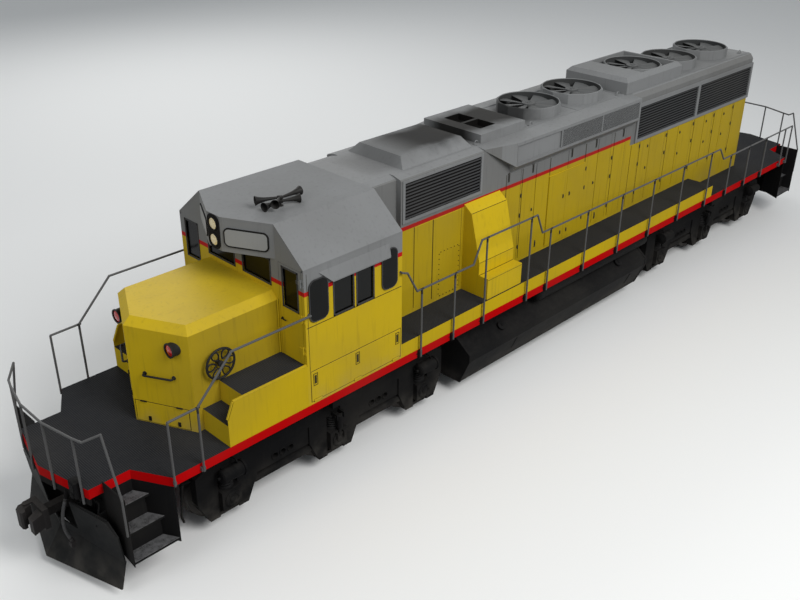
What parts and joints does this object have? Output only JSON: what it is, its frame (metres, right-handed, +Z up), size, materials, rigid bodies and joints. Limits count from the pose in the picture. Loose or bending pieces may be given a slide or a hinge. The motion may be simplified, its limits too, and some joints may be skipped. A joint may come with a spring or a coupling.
{
  "type": "six-axle diesel road locomotive",
  "caption": "Low-nosed hood-type diesel locomotive with turning trucks, rolling wheelsets, swinging couplers, roof fans and hinged doors.",
  "frame": {"origin": "on the centreline, midway between the coupler faces, at the level of the wheel flange tips", "axes": "+X towards the nose, +Y to the left side, +Z up"},
  "size_m": [20.98, 3.13, 4.7098],
  "materials": {
    "frame_paint": "worn black paint with a red side sill",
    "plow_paint": "scuffed black paint",
    "step_paint": "dark grey paint, worn",
    "yellow_paint": "yellow paint, semi-gloss",
    "grey_paint": "grey paint, dusty",
    "truck_casting": "painted and dusty casting",
    "coupler_casting": "bare casting, rusted",
    "wheel_steel": "rolled tread, dusty web",
    "fan_metal": "grey paint",
    "tank_paint": "dusty dark paint",
    "cab_trim": "plain paint",
    "seat_cover": "black seat cover",
    "window_glass": "dark tinted",
    "rail_paint": "yellow paint",
    "horn_paint": "black paint",
    "hose_rubber": "ribbed rubber",
    "coupling_iron": "bare casting"
  },
  "bodies": {
    "locomotive": {"main_frame": "frame_paint", "snowplow": "plow_paint", "steps_front": "step_paint", "steps_rear": "step_paint", "fuel_tank": "tank_paint", "reservoir_left": "tank_paint", "reservoir_right": "tank_paint", "walkway_left": "yellow_paint", "walkway_right": "yellow_paint", "nose": "yellow_paint", "cab_floor": "cab_trim", "cab_side_left": "yellow_paint", "cab_side_right": "yellow_paint", "cab_front": "yellow_paint", "cab_rear": "yellow_paint", "cab_roof": "grey_paint", "cab_glass": "window_glass", "cab_interior": "seat_cover", "filter_hood": "yellow_paint", "engine_hood": "yellow_paint", "radiator_hood": "yellow_paint", "roof_hatches": "grey_paint", "blower_duct": "yellow_paint", "engine_block": "cab_trim", "handrail_left": "rail_paint", "handrail_right": "rail_paint", "handrail_front": "rail_paint", "handrail_rear": "rail_paint", "horn": "horn_paint", "brake_wheel": "rail_paint", "brake_hose": "hose_rubber", "hose_coupling": "coupling_iron"},
    "truck_front": {"truck_frame_front": "truck_casting", "axle_boxes_front": "truck_casting", "traction_motors_front": "truck_casting"},
    "coupler_front": {"coupler_front": "coupler_casting"},
    "knuckle_front": {"knuckle_front": "coupler_casting"},
    "truck_rear": {"truck_frame_rear": "truck_casting", "axle_boxes_rear": "truck_casting", "traction_motors_rear": "truck_casting"},
    "coupler_rear": {"coupler_rear": "coupler_casting"},
    "knuckle_rear": {"knuckle_rear": "coupler_casting"},
    "wheelset_1": {"wheelset_1": "wheel_steel"},
    "wheelset_6": {"wheelset_6": "wheel_steel"},
    "wheelset_2": {"wheelset_2": "wheel_steel"},
    "wheelset_5": {"wheelset_5": "wheel_steel"},
    "wheelset_3": {"wheelset_3": "wheel_steel"},
    "wheelset_4": {"wheelset_4": "wheel_steel"},
    "roof_fan_1": {"roof_fan_1": "fan_metal"},
    "roof_fan_2": {"roof_fan_2": "fan_metal"},
    "roof_fan_3": {"roof_fan_3": "fan_metal"},
    "roof_fan_4": {"roof_fan_4": "fan_metal"},
    "roof_fan_5": {"roof_fan_5": "fan_metal"},
    "cab_door_front": {"cab_door_front": "yellow_paint"},
    "cab_door_rear": {"cab_door_rear": "yellow_paint"},
    "hood_door_left_1": {"hood_door_left_1": "yellow_paint"},
    "hood_door_left_2": {"hood_door_left_2": "yellow_paint"},
    "hood_door_right_1": {"hood_door_right_1": "yellow_paint"},
    "hood_door_right_2": {"hood_door_right_2": "yellow_paint"}
  },
  "joints": [
    {"name": "coupler_front_swing", "type": "hinge", "parent": "locomotive", "child": "coupler_front", "pos_m": [9.52, 0, 0.901], "axis": [0, 0, 1], "range_deg": [-7, 7]},
    {"name": "coupler_rear_swing", "type": "hinge", "parent": "locomotive", "child": "coupler_rear", "pos_m": [-9.52, 0, 0.901], "axis": [0, 0, 1], "range_deg": [-7, 7]},
    {"name": "knuckle_front_opening", "type": "hinge", "parent": "coupler_front", "child": "knuckle_front", "pos_m": [10.345, -0.14, 0.901], "axis": [0, 0, -1], "range_deg": [0, 50]},
    {"name": "knuckle_rear_opening", "type": "hinge", "parent": "coupler_rear", "child": "knuckle_rear", "pos_m": [-10.345, 0.14, 0.901], "axis": [0, 0, -1], "range_deg": [0, 50]},
    {"name": "truck_front_swivel", "type": "hinge", "parent": "locomotive", "child": "truck_front", "pos_m": [5.83, 0, 1.1], "axis": [0, 0, 1], "range_deg": [-6, 6]},
    {"name": "truck_rear_swivel", "type": "hinge", "parent": "locomotive", "child": "truck_rear", "pos_m": [-5.83, 0, 1.1], "axis": [0, 0, 1], "range_deg": [-6, 6]},
    {"name": "wheelset_1_spin", "type": "hinge", "parent": "truck_front", "child": "wheelset_1", "pos_m": [7.92, 0, 0.5334], "axis": [0, 1, 0], "continuous": true},
    {"name": "wheelset_2_spin", "type": "hinge", "parent": "truck_front", "child": "wheelset_2", "pos_m": [5.83, 0, 0.5334], "axis": [0, 1, 0], "continuous": true},
    {"name": "wheelset_3_spin", "type": "hinge", "parent": "truck_front", "child": "wheelset_3", "pos_m": [3.855, 0, 0.5334], "axis": [0, 1, 0], "continuous": true},
    {"name": "wheelset_4_spin", "type": "hinge", "parent": "truck_rear", "child": "wheelset_4", "pos_m": [-3.855, 0, 0.5334], "axis": [0, 1, 0], "continuous": true},
    {"name": "wheelset_5_spin", "type": "hinge", "parent": "truck_rear", "child": "wheelset_5", "pos_m": [-5.83, 0, 0.5334], "axis": [0, 1, 0], "continuous": true},
    {"name": "wheelset_6_spin", "type": "hinge", "parent": "truck_rear", "child": "wheelset_6", "pos_m": [-7.92, 0, 0.5334], "axis": [0, 1, 0], "continuous": true},
    {"name": "roof_fan_1_spin", "type": "hinge", "parent": "locomotive", "child": "roof_fan_1", "pos_m": [-0.19, 0, 4.48], "axis": [0, 0, 1], "continuous": true},
    {"name": "roof_fan_2_spin", "type": "hinge", "parent": "locomotive", "child": "roof_fan_2", "pos_m": [-1.562, 0, 4.48], "axis": [0, 0, 1], "continuous": true},
    {"name": "roof_fan_3_spin", "type": "hinge", "parent": "locomotive", "child": "roof_fan_3", "pos_m": [-3.72, 0, 4.48], "axis": [0, 0, 1], "continuous": true},
    {"name": "roof_fan_4_spin", "type": "hinge", "parent": "locomotive", "child": "roof_fan_4", "pos_m": [-5.187, 0, 4.48], "axis": [0, 0, 1], "continuous": true},
    {"name": "roof_fan_5_spin", "type": "hinge", "parent": "locomotive", "child": "roof_fan_5", "pos_m": [-6.567, 0, 4.48], "axis": [0, 0, 1], "continuous": true},
    {"name": "cab_door_front_hinge", "type": "hinge", "parent": "locomotive", "child": "cab_door_front", "pos_m": [6.6343, 1.442, 3], "axis": [0, 0, 1], "range_deg": [0, 90]},
    {"name": "cab_door_rear_hinge", "type": "hinge", "parent": "locomotive", "child": "cab_door_rear", "pos_m": [4.6747, -1.442, 3], "axis": [0, 0, 1], "range_deg": [0, 90]},
    {"name": "hood_door_left_1_hinge", "type": "hinge", "parent": "locomotive", "child": "hood_door_left_1", "pos_m": [0.163, 0.8913, 2.7], "axis": [0, 0, -1], "range_deg": [0, 170]},
    {"name": "hood_door_left_2_hinge", "type": "hinge", "parent": "locomotive", "child": "hood_door_left_2", "pos_m": [-0.963, 0.8913, 2.7], "axis": [0, 0, 1], "range_deg": [0, 170]},
    {"name": "hood_door_right_1_hinge", "type": "hinge", "parent": "locomotive", "child": "hood_door_right_1", "pos_m": [0.163, -0.8913, 2.7], "axis": [0, 0, 1], "range_deg": [0, 170]},
    {"name": "hood_door_right_2_hinge", "type": "hinge", "parent": "locomotive", "child": "hood_door_right_2", "pos_m": [-0.963, -0.8913, 2.7], "axis": [0, 0, -1], "range_deg": [0, 170]}
  ]
}
